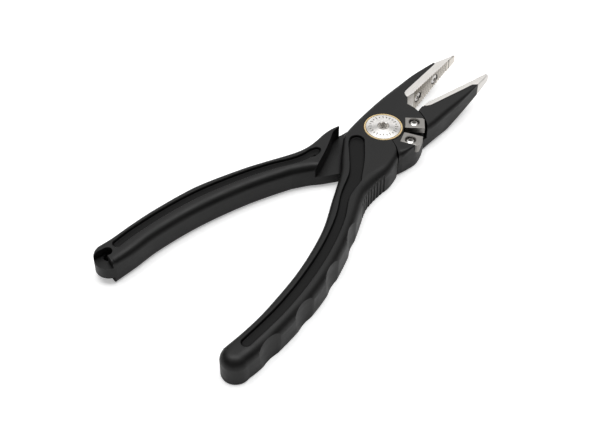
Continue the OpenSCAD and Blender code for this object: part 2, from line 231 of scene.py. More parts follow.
def prism(name, points, z0, z1, steps=7):
    """A closed prism. Each point is x, y and, if wanted, the radii that round the top and bottom edges."""
    points = loop(points)
    ins = inward(points)
    full = [tuple(p) + (0.0, 0.0)[:max(0, 4 - len(p))] for p in points]
    rings = []

    def ring(k, side):
        a = math.radians(90 * k / steps)
        out = []
        for p, m in zip(full, ins):
            r = p[2] if side > 0 else p[3]
            d = r * (1 - math.cos(a))
            drop = r * (1 - math.sin(a))
            z = z1 - drop if side > 0 else z0 + drop
            out.append((p[0] + m.x * d, p[1] + m.y * d, z))
        return out

    has_bottom = any(p[3] > 0 for p in full)
    has_top = any(p[2] > 0 for p in full)
    if has_bottom:
        rings += [ring(k, -1) for k in range(steps, -1, -1)]
    else:
        rings.append([(p[0], p[1], z0) for p in full])
    if has_top:
        rings += [ring(k, 1) for k in range(steps + 1)]
    else:
        rings.append([(p[0], p[1], z1) for p in full])
    bm = bmesh.new()
    stack_rings(bm, rings)
    bmesh.ops.remove_doubles(bm, verts=bm.verts, dist=1e-5)
    return new_object(name, bm)


def sunk(points, z_floor, z_face, flare=0.25, floor_r=0.5):
    """A cutting tool for a recess: straight walls, a rounded floor edge and a small flare at the face."""
    points = loop(points)
    ins = inward(points)
    rows = []
    for k in range(5):
        a = math.radians(90 * k / 4)
        rows.append((floor_r * (1 - math.sin(a)), z_floor + floor_r * (1 - math.cos(a))))
    rows += [(0, z_face - flare), (-flare, z_face), (-flare - PAST * 0.5, z_face + PAST * 0.5)]
    bm = bmesh.new()
    stack_rings(bm, [[(p[0] + m.x * d, p[1] + m.y * d, z) for p, m in zip(points, ins)] for d, z in rows])
    return new_object("tool", bm)


def lathe(name, profile, segments=96, at=(0, 0)):
    """A closed solid turned about the Z axis from (radius, height) points that start and end on the axis,
    or a ring when no point is on the axis."""
    bm = bmesh.new()
    on_axis = profile[0][0] == 0
    body = profile[1:-1] if on_axis else profile
    rows = []
    for r, z in body:
        rows.append([bm.verts.new((at[0] + r * math.cos(2 * math.pi * k / segments),
                                   at[1] + r * math.sin(2 * math.pi * k / segments), z))
                     for k in range(segments)])
    pairs = list(zip(rows, rows[1:]))
    if not on_axis:
        pairs.append((rows[-1], rows[0]))
    for low, high in pairs:
        for i in range(segments):
            j = (i + 1) % segments
            bm.faces.new((low[i], low[j], high[j], high[i]))
    if on_axis:
        for row, end in ((rows[0], profile[0]), (rows[-1], profile[-1])):
            centre = bm.verts.new((at[0], at[1], end[1]))
            for i in range(segments):
                bm.faces.new((row[i], row[(i + 1) % segments], centre))
    return new_object(name, bm)


def rod(radius, z0, z1, at=(0, 0), segments=64):
    return lathe("tool", [(0, z0), (radius, z0), (radius, z1), (0, z1)], segments, at)


def hexagon(across_flats, z0, z1, at=(0, 0), spin=0):
    r = across_flats / math.sqrt(3)
    return prism("tool", arc(at, r, spin, spin + 300, 5), z0, z1)


def bar(profile, x0, x1):
    """A cutting bar along X with a closed (y, z) profile."""
    bm = bmesh.new()
    stack_rings(bm, [[(x, y, z) for y, z in profile] for x in (x0, x1)])
    return new_object("tool", bm)


def place(obj, matrix):
    """Moves an object's own mesh."""
    obj.data.transform(matrix)
    obj.data.update()
    return obj


def turn_z(degrees):
    return Matrix.Rotation(math.radians(degrees), 4, "Z")


def cut(obj, tools):
    """Cuts closed tools out of a closed mesh and removes the tools."""
    for tool in tools:
        mod = obj.modifiers.new("cut", "BOOLEAN")
        mod.operation = "DIFFERENCE"
        mod.solver = "MANIFOLD"
        mod.object = tool
    view = bpy.context.evaluated_depsgraph_get()
    mesh = bpy.data.meshes.new_from_object(obj.evaluated_get(view))
    obj.modifiers.clear()
    old = obj.data
    obj.data = mesh
    bpy.data.meshes.remove(old)
    for tool in tools:
        bpy.data.objects.remove(tool)
    return obj


def finish_mesh(obj, sharp=32):
    """Cleans the mesh, smooths its round faces and keeps the edges that turn by more than sharp degrees."""
    bm = bmesh.new()
    bm.from_mesh(obj.data)
    bmesh.ops.triangulate(bm, faces=[f for f in bm.faces if len(f.verts) > 4])
    bmesh.ops.remove_doubles(bm, verts=bm.verts, dist=2e-4)
    bmesh.ops.dissolve_degenerate(bm, edges=bm.edges, dist=2e-4)
    for face in bm.faces:
        face.smooth = True
    for edge in bm.edges:
        turn = edge.calc_face_angle(0) if len(edge.link_faces) == 2 else math.pi
        edge.smooth = turn < math.radians(sharp)
    bm.to_mesh(obj.data)
    bm.free()
    mod = obj.modifiers.new("even_normals", "WEIGHTED_NORMAL")
    mod.keep_sharp = True
    return obj


# ------------------------------------------------------------------ outlines of the two halves, closed
UPPER_TIP = (LEFT_SEAT - 0.7, 46.5)
UPPER_BACK = [UPPER_TIP + (0.03, 0.03), (-7.1, 43.5, 0.4, 0.4), (-9.3, 35, 1.6, 1.6), (-10.6, 26, 2.6, 2.6),
              (-11.4, 16, 2.7, 2.7), (-11.6, 6, 2.7, 2.7), (-11.4, -4, 2.7, 2.7), (-10.4, -12.2, 2, 2)]
UPPER_INNER = [(-9.6, -14, 1.9, 1.9), (-3.7, -23.7, 2.7, 2.2), (1.5, -31.6, 2.8, 2.2), (7.6, -45, 2.8, 2.4),
               (14.1, -60, 2.8, 2.4), (18.9, -80, 2.8, 2.4), (20.9, -100, 2.8, 2.4), (21, -112, 2.8, 2.4),
               (19.6, -123.2, 4, 1.4)]
UPPER_END = (25.05, -123.2)
UPPER_END_R = 5.45
UPPER_OUTER = [(30.5, -122.4, 4.2, 0.6), (31.2, -116, 4, 0.6), (31.5, -100, 4, 0.6), (30.6, -84, 4, 0.6),
               (28.6, -72, 4, 0.6), (24.9, -58, 4, 0.6), (20.4, -45.5, 4.2, 0.7), (16.1, -34.5, 4.6, 0.8),
               (15.2, -29, 4.6, 0.8), (15.2, -23, 4.2, 0.8), (15.6, -17, 3.6, 0.8), (14.4, -10.1, 3.2, 0.6),
               (12.4, -5, 3, 0.6)]
UPPER_STOP = [(14.3, -10.1), (10.7, -6.6), (8.3, -5)]
UPPER_LAP_EDGE = [(14.3, -10.1), (12.3, -18), (9.9, -26), (7.5, -34), (5.5, -41)]
REAR_NOTCH = (-2.7, 21.2)
COLLAR_R = 8.35
LOBE_CLEAR_R = 8.6

LOWER_TIP = (RIGHT_SEAT + 1.3, 48.5)
LOWER_FRONT = [LOWER_TIP + (0.03, 0.03), (2.9, 45, 0.5, 0.3), (5.4, 36, 1.9, 0.8), (7.4, 28, 2.6, 1.8),
               (9.1, 21.5, 2.8, 2.6), (10.2, 16, 2.6, 2.2), (10.6, 12.8, 1, 1.2)]
LOWER_LOBE = [(10.6, 12.8, 1, 1.2), (12.9, 9.9, 0.4, 0.6), (15.4, 5.4, 0.4, 0.6), (16.3, 0.6, 1.2, 1.2),
              (16.6, -3, 2.8, 1.6)]
LOWER_LAP_EDGE = [(13.4, -10.6, 1, 2.4), (11, -17, 1, 2.5), (8.6, -22.5, 1, 2.5), (6.6, -27, 1.2, 2.5),
                  (4.3, -33, 2.4, 2.6), (1.9, -38, 3.2, 2.6), (-0.4, -44.5, 3.3, 2.6)]
LOWER_INNER = [(-0.4, -44.5, 3.3, 2.6), (-2.1, -54.5, 3.3, 2.6), (-3.3, -64.5, 3.3, 2.6),
               (-3.9, -77, 3.3, 2.6), (-3.6, -90, 3.3, 2.6), (-1.95, -104.5, 3.3, 2.6),
               (0.35, -114.5, 3.2, 2.6), (1.8, -123.6, 2.6, 2.2)]
LOWER_END = (-3.7, -123.6)
LOWER_END_R = 5.5
LOWER_OUTER = [(-9.2, -123.6, 2, 1.8), (-9.9, -118.5, 2, 1.8), (-11.7, -110, 2, 1.8), (-13.4, -100, 2, 1.8),
               (-14.8, -86, 2, 1.8), (-14.9, -76, 2, 1.8), (-13.2, -60, 2, 1.8), (-11.4, -50, 2, 1.8),
               (-9.3, -40, 2, 1.8), (-8.6, -34, 2, 1.8), (-9.2, -28.5, 2, 1.8), (-10.9, -22, 1.6, 1.8),
               (-11.2, -17.5, 0.8, 1.8), (-10.8, -13, 0.5, 2)]
LOWER_BACK = [(-10.8, -13, 0.5, 2), (-11.4, -5, 0.5, 2.4), (-11.6, 4, 0.5, 2.4), (-11.4, 13.8, 0.5, 1)]
LOWER_SHOULDER = [(-10.2, -14.5), (-9.4, -18), (-6.5, -21.6), (-2.5, -26.7), (0.4, -30.9), (1.7, -32.9),
                  (2.7, -35), (3.2, -37)]

POCKET_TOP_END = [(-1.6, -10.9), (-2.6, -10.3), (-4, -10.1), (-5.4, -10.6), (-6.5, -11.9), (-6.7, -13.4)]
POCKET_LEFT = [(-6.7, -13.4), (-5, -16.6), (0.7, -23.7), (5, -30.1)]
POCKET_RIGHT = [(-1.6, -10.9), (4.6, -19.5), (9.5, -28), (11, -31)]
UPPER_CHANNEL = [(8.7, -40), (13.8, -50), (17.5, -60), (20.2, -70), (22.1, -80), (23.4, -90), (24.1, -102),
                 (23.7, -117.6)]
UPPER_CHANNEL_W = 3.8
LOWER_CHANNEL = [(-6.2, -31.5), (-5.8, -36), (-6.5, -41), (-8.9, -50), (-11, -63), (-12.2, -80),
                 (-11.4, -96), (-9.2, -111), (-7.3, -118.6)]
LOWER_CHANNEL_W = 3.5
LOWER_FLARE = [(-2.3, -33.6), (-1.9, -31.4), (-2.7, -29.4), (-4.2, -28.2), (-5.7, -29)]


def upper_lobe_front():
    front = along_cut(CUT_START + CUT_LEN - 0.3, 0.4)
    back = along_cut(CUT_START + CUT_LEN - 0.3, UPPER_CUT[0] - 0.4)
    return (arc((0, 0), COLLAR_R, -5, CUT_ANGLE - 3, 40) + [along_cut(CUT_START, 0.4), front, back]
            + arc((0, 0), BOSS_R, 55, 90.6, 40))


def upper_outline():
    seat = [REAR_NOTCH, (-4, 21.5), (-5.2, 22.6), (LEFT_SEAT, 24), (LEFT_SEAT, 45.5)]
    return (through(UPPER_BACK) + through(UPPER_INNER)
            + with_radii(arc(UPPER_END, UPPER_END_R, 180, 360, 40), 4.3, 0.6) + through(UPPER_OUTER)
            + with_radii([(10, -2)] + upper_lobe_front() + seat, EDGE, EDGE))


def lower_outline():
    stop = arc((0, 0), 17.15, -16, -36, 8)
    seat = ([(-0.8, 20.6), (0, 22.6), (RIGHT_SEAT, 24.6), (RIGHT_SEAT, 46.5)])
    return (through(LOWER_FRONT) + through(LOWER_LOBE) + with_radii(stop, 2, 1.6) + through(LOWER_LAP_EDGE)
            + through(LOWER_INNER) + with_radii(arc(LOWER_END, LOWER_END_R, 0, -180, 40), 2, 1.8)
            + through(LOWER_OUTER) + through(LOWER_BACK)
            + with_radii(arc((0, 0), BOSS_R, 127, 88.4, 40) + seat, EDGE, EDGE))


# ------------------------------------------------------------------ cutting tools shared by both halves
def wedge_under_jaws():
    """Everything below the tapered underside of the jaws."""
    far = TIP_Y + 20
    rise = (far - TAPER_START) * TAPER
    return bar([(TAPER_START, 0), (far, rise), (far, -10), (TAPER_START, -10)], -40, 40)


def pivot_cuts(flip):
    """The bearing's bore and flange seat, and the spring's pocket; flipped for the lower half."""
    seat_r = FLANGE_R + FIT
    seat = [(0, TOP - FLANGE_T), (seat_r, TOP - FLANGE_T), (seat_r, TOP - 0.2), (FLANGE_R + 0.22, TOP),
            (FLANGE_R + PAST, TOP + PAST), (0, TOP + PAST)]
    tools = [rod(SLEEVE_R + FIT, -PAST, TOP + PAST), lathe("tool", seat), rod(POCKET_R, -PAST, POCKET_TOP)]
    if flip:
        mirror = Matrix.Translation((0, 0, TOP)) @ Matrix.Scale(-1, 4, (0, 0, 1))
        for tool in tools:
            place(tool, mirror)
            tool.data.flip_normals()
    return tools


def jaw_hole(screw, side):
    """The bore and counterbore of an insert screw, square to the grip face."""
    y, below, deep = screw
    r = JAW_HOLE_R
    bore = lathe("tool", [(0, -PAST), (r + 0.2, -PAST), (r + 0.2, 0), (r, 0.2), (r, SINK), (BORE_R, SINK),
                          (BORE_R, deep), (0, deep)], 48)
    spin = Matrix.Rotation(math.radians(-90 * side), 4, "Y")
    return place(bore, Matrix.Translation((GRIP_X, y, TOP - below)) @ spin)


def cutter_seat(depth, thick, side):
    """The open corner that a cutter plate sits in."""
    near, far, out = CUT_START - FIT, CUT_START + CUT_LEN + 3, -side * PAST * 0.5
    points = [(near, out), (far, out), (far, side * depth), (near, side * depth)]
    return place(prism("tool", points, TOP - thick, TOP + PAST), turn_z(CUT_ANGLE))


def cutter_hole(side, low):
    return place(rod(BORE_R, low, TOP, (CUT_SCREW_AT, side * CUT_SCREW_BACK)), turn_z(CUT_ANGLE))


def groove_outline(left, width, upper_left=(), head=(), upper_right=()):
    """A long groove of even width with a round lower end; its upper end may widen to a shaped head."""
    edge = through(list(upper_left) + left, 10)
    end = edge[-1]
    right = list(upper_right) + [(p[0] + width, p[1]) for p in left]
    return thinned(edge + arc((end[0] + width / 2, end[1]), width / 2, 180, 360, 20)
                   + through(right, 10)[::-1] + list(head))


UPPER_GROOVE = groove_outline(UPPER_CHANNEL, UPPER_CHANNEL_W, POCKET_LEFT, through(POCKET_TOP_END, 8),
                              POCKET_RIGHT)
LOWER_GROOVE = groove_outline(LOWER_CHANNEL, LOWER_CHANNEL_W, head=through(LOWER_FLARE, 8))


def inside(x, y, outline):
    """Whether a point lies within a closed outline."""
    hit = False
    for a, b in zip(outline, outline[1:] + outline[:1]):
        if (a[1] > y) != (b[1] > y) and x < a[0] + (y - a[1]) * (b[0] - a[0]) / (b[1] - a[1]):
            hit = not hit
    return hit


def mark_recess(obj, outline):
    """Gives the walls and floor of a groove the second material, a darker, duller copy of the black finish
    that paints their shade.
    """
    obj.data.materials.append(recess)
    for face in obj.data.polygons:
        corner, n = obj.data.vertices[face.vertices[0]].co, face.normal
        in_depth = TOP - GROOVE_DEPTH - 0.01 < face.center.z < TOP - 0.01
        if in_depth and inside(corner.x + n.x * 0.4, corner.y + n.y * 0.4, outline):
            face.material_index = 1


def mark_grip(obj, mat):
    """Gives the toothed face of a jaw insert the second material."""
    obj.data.materials.append(mat)
    for face in obj.data.polygons:
        if abs(face.center.x - GRIP_X) < 0.4 and abs(face.normal.x) > 0.5:
            face.material_index = 1


def outer_x(y):
    """Where the outer wall of the right handle stands at a given distance along it."""
    line = through(UPPER_OUTER)
    for a, b in zip(line, line[1:]):
        if a[1] <= y < b[1]:
            return a[0] + (y - a[1]) * (b[0] - a[0]) / (b[1] - a[1])


def finger_scallops():
    """Hollows one finger apart, square to the outer wall of the right handle."""
    r = ((SCALLOP_LEN / 2) ** 2 + SCALLOP_DEPTH ** 2) / (2 * SCALLOP_DEPTH)
    lean = Matrix.Rotation(-math.radians(SCALLOP_LEAN), 4, "Y")
    out = []
    for i in range(SCALLOPS):
        y = SCALLOP_FIRST_Y - SCALLOP_PITCH * i
        drop = outer_x(y - SCALLOP_SPAN) - outer_x(y + SCALLOP_SPAN)
        square = Matrix.Rotation(math.atan(drop / (2 * SCALLOP_SPAN)), 4, "Z")
        out.append(place(rod(r, -PAST, TOP + PAST, segments=256),
                         Matrix.Translation((outer_x(y), y, 0)) @ square
                         @ Matrix.Translation((r - SCALLOP_DEPTH, 0, 0)) @ lean))
    return out


def thumb_grooves():
    """Upright grooves in the hollow where a thumb pushes."""
    rows = [THUMB_FIRST_Y - THUMB_PITCH * i for i in range(THUMB_GROOVES)]
    return [rod(THUMB_R, -PAST, TOP + PAST, (outer_x(y) + THUMB_BACK, y), 32) for y in rows]


# ------------------------------------------------------------------ the two halves
def upper_half():
    body = prism("right_handle_half", upper_outline(), 0, TOP)
    edge = LAP + LAP_GAP
    lap = ([p[:2] for p in through(UPPER_LAP_EDGE)]
           + [(-40, -60), (-40, 13.9), (0, 13.9), (17.3, 0), (16.9, -4.5)])
    stop = arc((0, 0), COLLAR_R, 5, -31, 24) + UPPER_STOP[::-1] + [(20, -11), (20, 2)]
    tools = [rod(SEAM_R, -PAST, edge, (0, 0), 192), prism("tool", lap, -PAST, edge),
             wedge_under_jaws(), cutter_seat(*UPPER_CUT, 1), cutter_hole(1, UPPER_BORE_LOW),
             jaw_hole(FRONT_SCREW, 1), jaw_hole(REAR_SCREW, 1),
             sunk(UPPER_GROOVE, TOP - GROOVE_DEPTH, TOP), prism("tool", stop, -PAST, TOP + PAST)]
    tools += pivot_cuts(False) + finger_scallops() + thumb_grooves()
    return cut(body, tools)


def lower_half():
    body = prism("left_handle_half", lower_outline(), 0, TOP)
    edge = LAP - LAP_GAP
    step = turned([UPPER_STOP[2], UPPER_STOP[1], UPPER_STOP[0], (18, -12.5)], 2 * OPEN_HALF + STOP_GAP)
    lap = (arc((0, 0), SEAM_R, 98, 40, 60) + [along_cut(30, -0.4), along_cut(LOBE_CLEAR_R, -0.4)]
           + arc((0, 0), LOBE_CLEAR_R, CUT_ANGLE - 4, -12, 24) + step
           + [(30, -10), (30, -42), (3.4, -42)] + through(LOWER_SHOULDER[::-1]) + [(-30, -14.5), (-30, 18)])
    side = LANYARD_R + 0.2
    relief = (arc(LANYARD, side, 180, -25, 32)
              + [(12, LANYARD[1] - 1), (12, -135), (LANYARD[0] - side, -135)])
    tools = [prism("tool", lap, edge, TOP + PAST), wedge_under_jaws(), cutter_seat(*LOWER_CUT, -1),
             cutter_hole(-1, LOWER_BORE_LOW), jaw_hole(FRONT_SCREW, -1), jaw_hole(REAR_SCREW, -1),
             sunk(LOWER_GROOVE, TOP - GROOVE_DEPTH, TOP),
             rod(LANYARD_R, -PAST, TOP + PAST, LANYARD),
             prism("tool", relief, -PAST, LAP - TONGUE_T / 2),
             prism("tool", relief, LAP + TONGUE_T / 2, TOP + PAST)]
    tools += pivot_cuts(True)
    return cut(body, tools)


# ------------------------------------------------------------------ jaw inserts, cutters and screws
def insert_outline(side):
    """Left insert for side 1, right insert for side -1."""
    if side > 0:
        grip = [(GRIP_X, 25), (GRIP_X, TIP_Y - 1)]
        tip = [(GRIP_X - 0.1, TIP_Y - 0.4), (-2.3, TIP_Y - 0.35), (-2.65, TIP_Y - 0.7)]
        back = [(-2.95, TIP_Y - 2.2), UPPER_TIP]
        seat = [(LEFT_SEAT, 45.5), (LEFT_SEAT, 24), (-5.2, 22.6), (-4, 21.5), REAR_NOTCH]
    else:
        grip = [(GRIP_X, 25), (GRIP_X, TIP_Y - 0.6)]
        tip = [(GRIP_X + 0.15, TIP_Y), (-1.4, TIP_Y + 0.2), (-0.9, TIP_Y), (-0.5, TIP_Y - 0.8)]
        back = [(0.85, 51.9), LOWER_TIP]
        seat = [(RIGHT_SEAT, 46.5), (RIGHT_SEAT, 24.6), (0, 22.6), (-0.8, 21.6)]
    return (with_radii(grip, 0.55, EDGE) + with_radii(tip, 0.2, EDGE) + with_radii(back, 0.55, EDGE)
            + with_radii(seat, EDGE, EDGE))


def nose():
    """Rounds the upper front corner of both tips."""
    r, end = 2.2, TIP_Y + 0.25
    curve = [(end - r + r * math.sin(a), TOP - r + r * math.cos(a))
             for a in [math.radians(90 * k / 10) for k in range(11)]]
    return bar(curve + [(end + PAST, TOP - r), (end + PAST, TOP + PAST), (end - r, TOP + PAST)], -8, 6)


def serrations(side):
    """A tool that leaves upright teeth crossed by shallower lines on a grip face."""
    pitch, rows = TOOTH_PITCH, TOOTH_ROWS
    start, end = TOOTH_SPAN
    columns = int((end - start) / pitch / 2) * 2
    bm = bmesh.new()

    def sheet(depth_of):
        return [[bm.verts.new((GRIP_X + depth_of(i, j), start + pitch * i, pitch * (j - 0.5)))
                 for j in range(rows + 1)] for i in range(columns + 1)]

    def tooth(i, j):
        if i in (0, columns):
            return 0.02 * side
        return -side * (TOOTH_DEPTH if i % 2 else (TOOTH_CROSS if j % 2 else 0.0)) + 0.001 * side

    face = sheet(tooth)
    back = sheet(lambda i, j: side * PAST)
    for grid, flip in ((face, side > 0), (back, side < 0)):
        for a, b in zip(grid, grid[1:]):
            for j in range(rows):
                quad = (a[j], a[j + 1], b[j + 1], b[j])
                bm.faces.new(quad if flip else quad[::-1])
    border = ([(0, j) for j in range(rows)] + [(i, rows) for i in range(columns)]
              + [(columns, j) for j in range(rows, 0, -1)] + [(i, 0) for i in range(columns, 0, -1)])
    for (i, j), (k, m) in zip(border, border[1:] + border[:1]):
        bm.faces.new((face[i][j], face[k][m], back[k][m], back[i][j]))
    bmesh.ops.triangulate(bm, faces=[f for f in bm.faces if len(f.verts) == 4])
    return new_object("tool", bm)


def jaw_insert(name, side):
    """A steel plate that stands a little ahead of its jaw, with teeth on its grip face."""
    block = prism(name, insert_outline(side), 0, TOP, 3)
    near, far = NOTCH_SPAN
    back, front = GRIP_X - NOTCH_DEPTH, GRIP_X + NOTCH_DEPTH
    notch = prism("tool", [(back, near), (front, near), (front, far), (back, far)], -PAST, TOP + PAST)
    return cut(block, [wedge_under_jaws(), nose(), serrations(side), notch,
                       jaw_hole(FRONT_SCREW, side), jaw_hole(REAR_SCREW, side)])


def socket_screw(name, head_r, head_h, dome, shank_end, af):
    """A screw whose head's outer face is at height 0 and whose shank runs down to shank_end."""
    top = [(0, 0)] + [(head_r * math.sin(a), -dome * (1 - math.cos(a)) / (1 - math.cos(1.2)))
                      for a in [math.asin(min(1, k / 6)) * 1.2 / (math.pi / 2) for k in range(1, 7)]]
    scale = head_r / top[-1][0]
    top = [(r * scale, z) for r, z in top]
    low = [(head_r, -head_h + 0.15), (head_r - 0.15, -head_h), (1.0, -head_h), (1.0, shank_end + 0.25),
           (0.8, shank_end), (0, shank_end)]
    screw = lathe(name, top + low, 64)
    lead = lathe("tool", [(0, -0.35), (af * 0.42, -0.25), (af * 0.66, 0.1), (0, 0.1)], 48)
    return cut(screw, [hexagon(af, -head_h * 0.62, 1), lead])


def jaw_screw(name, screw, side):
    y, below, deep = screw
    obj = socket_screw(name, JAW_HEAD_R, SINK - 0.3, 0.25, -(deep - 0.35), SCREW_AF)
    lay = Matrix.Rotation(math.radians(90 * side), 4, "Y")
    return place(obj, Matrix.Translation((GRIP_X - side * 0.3, y, TOP - below)) @ lay)


def cutter(name, plan, side):
    """A cutter plate with its screw hole and the bevel behind its edge."""
    depth, thick = plan
    corner = 0.8
    end = CUT_START + CUT_LEN
    points = [(CUT_START, 0), (end, 0), (end, side * (depth - corner)), (end - corner, side * depth),
              (CUT_START, side * depth)]
    block = prism(name, with_radii(points, 0.22, EDGE), TOP - thick, TOP, 2)
    r = CUT_HOLE_R
    low = TOP - thick
    hole = lathe("tool", [(0, low - PAST), (BORE_R, low - PAST), (BORE_R, TOP - SINK), (r, TOP - SINK),
                          (r, TOP - 0.2), (r + 0.2, TOP), (r + 0.2, TOP + PAST), (0, TOP + PAST)],
                 64, (CUT_SCREW_AT, side * CUT_SCREW_BACK))
    bevel = [(-side * 0.01, low - PAST), (-side * 0.01, low + 0.5),
             (side * 1.1, low - 0.01), (side * 1.1, low - PAST)]
    tool = bar(bevel, CUT_START - PAST, end + PAST)
    return place(cut(block, [hole, tool]), turn_z(CUT_ANGLE))


def cutter_screw(name, side, low):
    obj = socket_screw(name, CUT_HEAD_R, SINK - 0.2, 0.55, low - TOP + 0.25, SCREW_AF)
    at = Matrix.Translation((CUT_SCREW_AT, side * CUT_SCREW_BACK, TOP - 0.2))
    return place(obj, turn_z(CUT_ANGLE) @ at)


# ------------------------------------------------------------------ pivot and spring
def bearing_ring(name, flip):
    """A flanged bush: the flange shows as a narrow ring around the bolt head."""
    rim = [(SHANK_R + 0.03, LAP + THRUST_T / 2 + 0.02), (SLEEVE_R, LAP + THRUST_T / 2 + 0.02),
           (SLEEVE_R, TOP - FLANGE_T), (FLANGE_R, TOP - FLANGE_T), (FLANGE_R, TOP - 0.12),
           (FLANGE_R - 0.12, TOP), (HEAD_R + 0.19, TOP), (HEAD_R + 0.07, TOP - 0.12),
           (HEAD_R + 0.07, TOP - HEAD_T), (SHANK_R + 0.03, TOP - HEAD_T)]
    if flip:
        rim = [(r, TOP - z) for r, z in reversed(rim)]
    return lathe(name, rim, 128)


def crown(r):
    """Height of the bolt head's face at radius r: a low crown, steeper towards its edge."""
    return TOP + CROWN * (1 - (r / HEAD_R) ** 1.35)


def pivot_head():
    """The polished bolt: a crowned head with a hexagon socket and a ring of plain index marks."""
    top = [(0, crown(0))] + [(HEAD_R * k / 24, crown(HEAD_R * k / 24)) for k in range(1, 24)]
    edge = [(HEAD_R - 0.06, TOP), (HEAD_R, TOP - 0.08), (HEAD_R, TOP - HEAD_T + 0.02),
            (SHANK_R, TOP - HEAD_T + 0.02), (SHANK_R, HEAD_T - 0.02), (TAIL_R, HEAD_T - 0.02),
            (TAIL_R, 0.2), (TAIL_R - 0.2, 0.02), (0, 0.02)]
    bolt = lathe("pivot_bolt_polished", top + edge, 128)
    mouth = crown(2.4)
    tools = [hexagon(SOCKET_AF, TOP - 2.6, TOP + PAST, spin=12),
             lathe("tool", [(0, mouth - 0.5), (2.1, mouth - 0.28), (2.6, mouth + 0.12), (2.6, TOP + PAST),
                            (0, TOP + PAST)], 64)]
    for i in range(MARKS):
        length, half = MARK_LEN[i % 2], MARK_HALF
        near, far = MARK_R - length / 2, MARK_R + length / 2
        slot = prism("tool", [(near, -half), (far, -half), (far, half), (near, half)], -0.3, PAST)
        tilt = Matrix.Rotation(math.atan((crown(near) - crown(far)) / length), 4, "Y")
        at = Matrix.Translation((MARK_R, 0, crown(MARK_R))) @ tilt @ Matrix.Translation((-MARK_R, 0, 0))
        tools.append(place(slot, turn_z(360 * i / MARKS) @ at))
    return cut(bolt, tools)


def pivot_nut():
    nut = lathe("pivot_nut_polished",
                [(0, 0), (HEAD_R - 0.2, 0), (HEAD_R, 0.2), (HEAD_R, NUT_T), (0, NUT_T)], 128)
    return cut(nut, [rod(0.8, -1, 1, (side * 5, 0), 32) for side in (-1, 1)]
                   + [rod(TAIL_R, 0.02, NUT_T + 1)])


def return_spring():
    """Round wire: three turns around the bushes with a straight leg at each end."""
    low = TOP - POCKET_TOP + WIRE_R + 0.3
    high = POCKET_TOP - WIRE_R - 0.3
    first = LEG_ANGLE - OPEN_HALF
    sweep = 360 * COIL_TURNS + 2 * OPEN_HALF
    steps = 36 * COIL_TURNS
    path = [(LEG_REACH, first, low)]
    path += [(COIL_R, first + sweep * k / steps, low + (high - low) * k / steps) for k in range(steps + 1)]
    path.append((LEG_REACH, first + sweep, high))
    path = [Vector((r * math.cos(math.radians(a)), r * math.sin(math.radians(a)), z)) for r, a, z in path]
    bm = bmesh.new()
    rings = []
    for i, p in enumerate(path):
        ahead = (path[min(i + 1, len(path) - 1)] - p) if i < len(path) - 1 else (p - path[i - 1])
        behind = (p - path[i - 1]) if i else ahead
        t = (ahead.normalized() + behind.normalized()).normalized()
        u = t.cross(Vector((0, 0, 1))).normalized()
        v = u.cross(t)
        rings.append([p + WIRE_R * (math.cos(a) * u + math.sin(a) * v)
                      for a in [2 * math.pi * k / 12 for k in range(12)]])
    stack_rings(bm, rings)
    return new_object("return_spring", bm)


